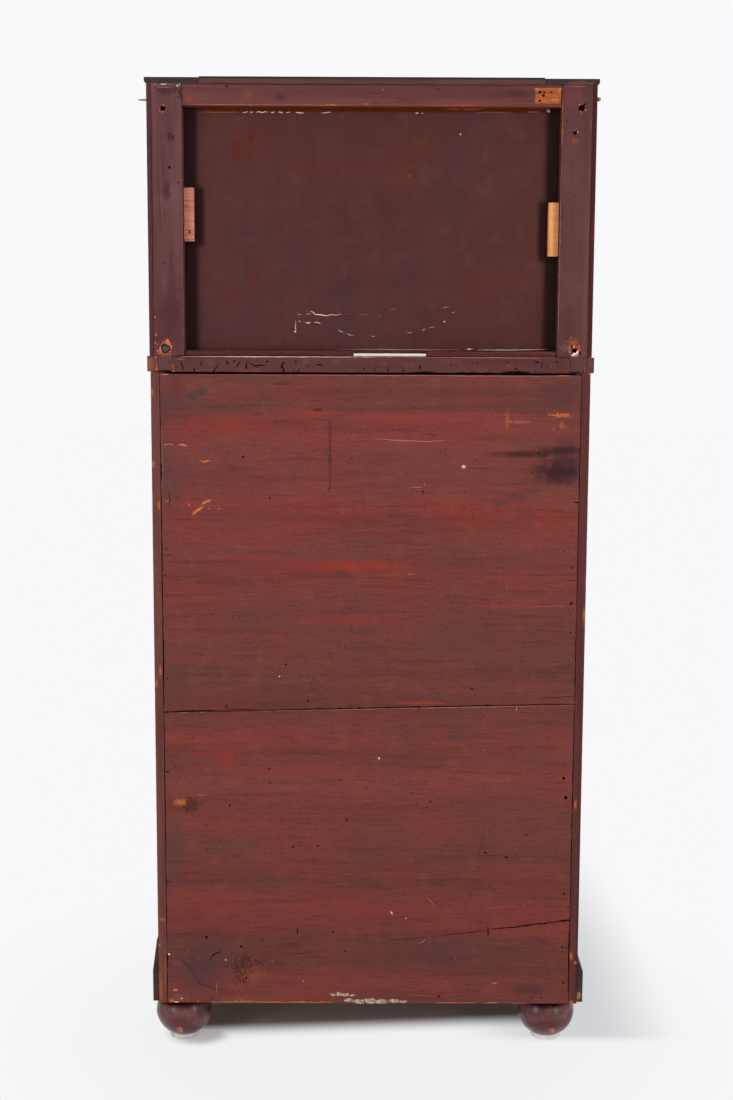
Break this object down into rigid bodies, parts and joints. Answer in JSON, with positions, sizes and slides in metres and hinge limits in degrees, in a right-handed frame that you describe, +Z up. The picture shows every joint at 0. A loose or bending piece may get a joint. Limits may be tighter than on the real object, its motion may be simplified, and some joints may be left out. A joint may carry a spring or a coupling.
{
  "type": "chiffonier",
  "caption": "Tall narrow chest of drawers with a two-door cupboard on top, tapered plinth and turned bun feet, in dark polished wood with a stained softwood back.",
  "frame": {"origin": "on the floor under the middle of the outline, with the drawer knobs counted", "axes": "+Z up; the drawer fronts and doors face -Y and the stained back faces +Y; +X is the right hand of someone facing the front"},
  "size_m": [0.6838, 0.428, 1.5],
  "materials": {
    "polished_mahogany": "french polished",
    "stained_pine": "dull red-brown stain",
    "ebonised": "black stain under worn polish",
    "raw_pine": "bare, sawn",
    "drawer_oak": "bare, planed",
    "brass": "aged",
    "shim_wood": "bare, pale"
  },
  "bodies": {
    "carcass": {"case_side_left": "polished_mahogany", "case_side_right": "polished_mahogany", "case_bottom": "drawer_oak", "divider_1": "drawer_oak", "divider_2": "drawer_oak", "divider_3": "drawer_oak", "divider_4": "drawer_oak", "base_rail": "polished_mahogany", "back_board_lower": "stained_pine", "back_board_upper": "stained_pine", "plinth": "ebonised", "foot_front_left": "polished_mahogany", "foot_front_right": "polished_mahogany", "foot_back_left": "polished_mahogany", "foot_back_right": "polished_mahogany", "chest_top": "polished_mahogany", "upper_side_left": "polished_mahogany", "upper_side_right": "polished_mahogany", "frieze_rail": "polished_mahogany", "post_left": "stained_pine", "post_right": "stained_pine", "top_rail": "stained_pine", "back_panel": "stained_pine", "batten_left": "stained_pine", "batten_right": "stained_pine", "shim": "shim_wood", "glue_block_left": "raw_pine", "glue_block_right": "raw_pine", "peg_left": "brass", "peg_right": "brass", "cornice": "ebonised", "top_board": "ebonised"},
    "door_left": {"door_left_frame": "polished_mahogany", "door_left_panel": "polished_mahogany", "door_left_pivot_top": "brass", "door_left_pivot_bottom": "brass"},
    "door_right": {"door_right_frame": "polished_mahogany", "door_right_panel": "polished_mahogany", "door_right_pivot_top": "brass", "door_right_pivot_bottom": "brass"},
    "drawer_1": {"drawer_1_front": "polished_mahogany", "drawer_1_box": "drawer_oak", "drawer_1_bottom": "drawer_oak", "drawer_1_knob_left": "polished_mahogany", "drawer_1_knob_right": "polished_mahogany"},
    "drawer_2": {"drawer_2_front": "polished_mahogany", "drawer_2_box": "drawer_oak", "drawer_2_bottom": "drawer_oak", "drawer_2_knob_left": "polished_mahogany", "drawer_2_knob_right": "polished_mahogany"},
    "drawer_3": {"drawer_3_front": "polished_mahogany", "drawer_3_box": "drawer_oak", "drawer_3_bottom": "drawer_oak", "drawer_3_knob_left": "polished_mahogany", "drawer_3_knob_right": "polished_mahogany"},
    "drawer_4": {"drawer_4_front": "polished_mahogany", "drawer_4_box": "drawer_oak", "drawer_4_bottom": "drawer_oak", "drawer_4_knob_left": "polished_mahogany", "drawer_4_knob_right": "polished_mahogany"}
  },
  "joints": [
    {"name": "door_left_hinge", "type": "hinge", "parent": "carcass", "child": "door_left", "pos_m": [-0.3025, -0.161, 1.094], "axis": [0, 0, -1], "range_deg": [0, 90]},
    {"name": "door_right_hinge", "type": "hinge", "parent": "carcass", "child": "door_right", "pos_m": [0.3025, -0.161, 1.094], "axis": [0, 0, 1], "range_deg": [0, 90]},
    {"name": "drawer_1_slide", "type": "slide", "parent": "carcass", "child": "drawer_1", "axis": [0, -1, 0], "range_m": [0, 0.28]},
    {"name": "drawer_2_slide", "type": "slide", "parent": "carcass", "child": "drawer_2", "axis": [0, -1, 0], "range_m": [0, 0.28]},
    {"name": "drawer_3_slide", "type": "slide", "parent": "carcass", "child": "drawer_3", "axis": [0, -1, 0], "range_m": [0, 0.28]},
    {"name": "drawer_4_slide", "type": "slide", "parent": "carcass", "child": "drawer_4", "axis": [0, -1, 0], "range_m": [0, 0.28]}
  ]
}
